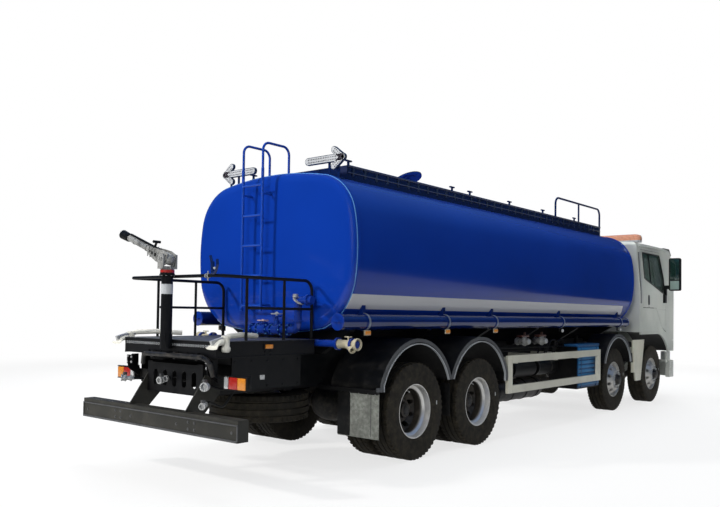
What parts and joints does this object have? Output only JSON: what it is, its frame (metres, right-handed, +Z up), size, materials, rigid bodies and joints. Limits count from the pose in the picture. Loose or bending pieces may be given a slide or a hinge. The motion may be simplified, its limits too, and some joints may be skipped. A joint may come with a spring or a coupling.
{
  "type": "tanker truck",
  "caption": "Rigid water tanker lorry with a cab over its front axle, a rounded tank, a roof walkway, and a railed rear platform with a tilting water cannon.",
  "frame": {"origin": "on the ground under the middle of the lorry, half way along and half way across", "axes": "+Z up, the cab faces -Y, the left side is +X"},
  "size_m": [3.12, 11.8298, 3.535],
  "materials": {
    "tank_paint": "glossy blue enamel",
    "dark_blue_paint": "dark blue enamel",
    "black_paint": "satin black chassis paint",
    "cab_paint": "white enamel",
    "cream_paint": "off-white enamel",
    "black_plastic": "moulded black plastic",
    "tyre_rubber": "dusty tread rubber",
    "flap_rubber": "grey sheet rubber",
    "rim_steel": "silver paint",
    "cast_grey": "cast and oily",
    "bare_metal": "bright steel",
    "aluminium": "plain aluminium",
    "cab_glass": "green tinted",
    "lamp_plastic": "coloured lenses",
    "amber_plastic": "amber lens",
    "seat_fabric": "dark woven cloth"
  },
  "bodies": {
    "chassis": {"air_tanks": "black_paint", "arrow_lamps": "bare_metal", "chassis_frame": "black_paint", "drive_axles": "cast_grey", "driveline": "cast_grey", "filter_box": "tank_paint", "front_bumper": "cab_paint", "fuel_tank": "aluminium", "leaf_springs": "cast_grey", "mud_flaps": "flap_rubber", "mudguards": "black_plastic", "platform_rails": "black_paint", "pump_pipes": "tank_paint", "rear_bumper": "black_paint", "rear_ladder": "dark_blue_paint", "road_lamps": "lamp_plastic", "roof_coaming": "dark_blue_paint", "side_guards": "cream_paint", "side_tubes": "tank_paint", "spare_wheel": "tyre_rubber", "spray_nozzles": "bare_metal", "steer_axles": "cast_grey", "tank_cradle": "black_paint", "water_tank": "tank_paint", "work_platform": "black_paint"},
    "cab": {"cab_shell": "cab_paint", "windscreen": "cab_glass", "sun_visor": "black_plastic", "light_bar": "amber_plastic", "cab_seats": "seat_fabric", "dashboard": "black_plastic"},
    "door_left_leaf": {"door_left": "cab_paint", "door_glass_left": "cab_glass", "mirror_left": "black_plastic"},
    "door_right_leaf": {"door_right": "cab_paint", "door_glass_right": "cab_glass", "mirror_right": "black_plastic"},
    "steering_1_left": {"knuckle_1_left": "cast_grey"},
    "wheel_1_left": {"tyre_1_left": "tyre_rubber", "rim_1_left": "rim_steel"},
    "steering_1_right": {"knuckle_1_right": "cast_grey"},
    "wheel_1_right": {"tyre_1_right": "tyre_rubber", "rim_1_right": "rim_steel"},
    "steering_2_left": {"knuckle_2_left": "cast_grey"},
    "wheel_2_left": {"tyre_2_left": "tyre_rubber", "rim_2_left": "rim_steel"},
    "steering_2_right": {"knuckle_2_right": "cast_grey"},
    "wheel_2_right": {"tyre_2_right": "tyre_rubber", "rim_2_right": "rim_steel"},
    "wheels_3_left": {"tyres_3_left": "tyre_rubber", "rims_3_left": "rim_steel"},
    "wheels_3_right": {"tyres_3_right": "tyre_rubber", "rims_3_right": "rim_steel"},
    "wheels_4_left": {"tyres_4_left": "tyre_rubber", "rims_4_left": "rim_steel"},
    "wheels_4_right": {"tyres_4_right": "tyre_rubber", "rims_4_right": "rim_steel"},
    "lid": {"manhole_lid": "tank_paint"},
    "cannon_swivel": {"cannon_head": "cast_grey"},
    "cannon_gun": {"cannon_barrel": "cast_grey"}
  },
  "joints": [
    {"name": "cab_tilt", "type": "hinge", "parent": "chassis", "child": "cab", "pos_m": [0, -5.505, 0.96], "axis": [1, 0, 0], "range_deg": [0, 50]},
    {"name": "door_left_hinge", "type": "hinge", "parent": "cab", "child": "door_left_leaf", "pos_m": [1.245, -5.101, 2], "axis": [0, 0, -1], "range_deg": [0, 70]},
    {"name": "door_right_hinge", "type": "hinge", "parent": "cab", "child": "door_right_leaf", "pos_m": [-1.245, -5.101, 2], "axis": [0, 0, 1], "range_deg": [0, 70]},
    {"name": "steer_1_left", "type": "hinge", "parent": "chassis", "child": "steering_1_left", "pos_m": [0.868, -4.595, 0.535], "axis": [0, 0, 1], "range_deg": [-35, 35]},
    {"name": "spin_1_left", "type": "hinge", "parent": "steering_1_left", "child": "wheel_1_left", "pos_m": [1, -4.595, 0.535], "axis": [1, 0, 0], "continuous": true},
    {"name": "steer_1_right", "type": "hinge", "parent": "chassis", "child": "steering_1_right", "pos_m": [-0.868, -4.595, 0.535], "axis": [0, 0, 1], "range_deg": [-35.1, 35.1]},
    {"name": "spin_1_right", "type": "hinge", "parent": "steering_1_right", "child": "wheel_1_right", "pos_m": [-1, -4.595, 0.535], "axis": [1, 0, 0], "continuous": true},
    {"name": "steer_2_left", "type": "hinge", "parent": "chassis", "child": "steering_2_left", "pos_m": [0.868, -2.705, 0.535], "axis": [0, 0, 1], "range_deg": [-26, 26]},
    {"name": "spin_2_left", "type": "hinge", "parent": "steering_2_left", "child": "wheel_2_left", "pos_m": [1, -2.705, 0.535], "axis": [1, 0, 0], "continuous": true},
    {"name": "steer_2_right", "type": "hinge", "parent": "chassis", "child": "steering_2_right", "pos_m": [-0.868, -2.705, 0.535], "axis": [0, 0, 1], "range_deg": [-26, 26]},
    {"name": "spin_2_right", "type": "hinge", "parent": "steering_2_right", "child": "wheel_2_right", "pos_m": [-1, -2.705, 0.535], "axis": [1, 0, 0], "continuous": true},
    {"name": "spin_3_left", "type": "hinge", "parent": "chassis", "child": "wheels_3_left", "pos_m": [0.915, 1.995, 0.535], "axis": [1, 0, 0], "continuous": true},
    {"name": "spin_3_right", "type": "hinge", "parent": "chassis", "child": "wheels_3_right", "pos_m": [-0.915, 1.995, 0.535], "axis": [1, 0, 0], "continuous": true},
    {"name": "spin_4_left", "type": "hinge", "parent": "chassis", "child": "wheels_4_left", "pos_m": [0.915, 3.345, 0.535], "axis": [1, 0, 0], "continuous": true},
    {"name": "spin_4_right", "type": "hinge", "parent": "chassis", "child": "wheels_4_right", "pos_m": [-0.915, 3.345, 0.535], "axis": [1, 0, 0], "continuous": true},
    {"name": "manhole_lid_hinge", "type": "hinge", "parent": "chassis", "child": "lid", "pos_m": [-0.222, 2.445, 3.22], "axis": [0, 1, 0], "range_deg": [0, 157]},
    {"name": "cannon_turn", "type": "hinge", "parent": "chassis", "child": "cannon_swivel", "pos_m": [-0.045, 5.8153, 2.1], "axis": [0, 0, 1], "range_deg": [-160, 160]},
    {"name": "cannon_tilt", "type": "hinge", "parent": "cannon_swivel", "child": "cannon_gun", "pos_m": [-0.045, 5.8153, 2.1], "axis": [0, -1, 0], "range_deg": [-20, 55]}
  ],
  "couplings": [
    {"joint": "steer_1_right", "follows": "steer_1_left", "ratio": 1},
    {"joint": "steer_2_left", "follows": "steer_1_left", "ratio": 0.74},
    {"joint": "steer_2_right", "follows": "steer_1_left", "ratio": 0.74}
  ]
}
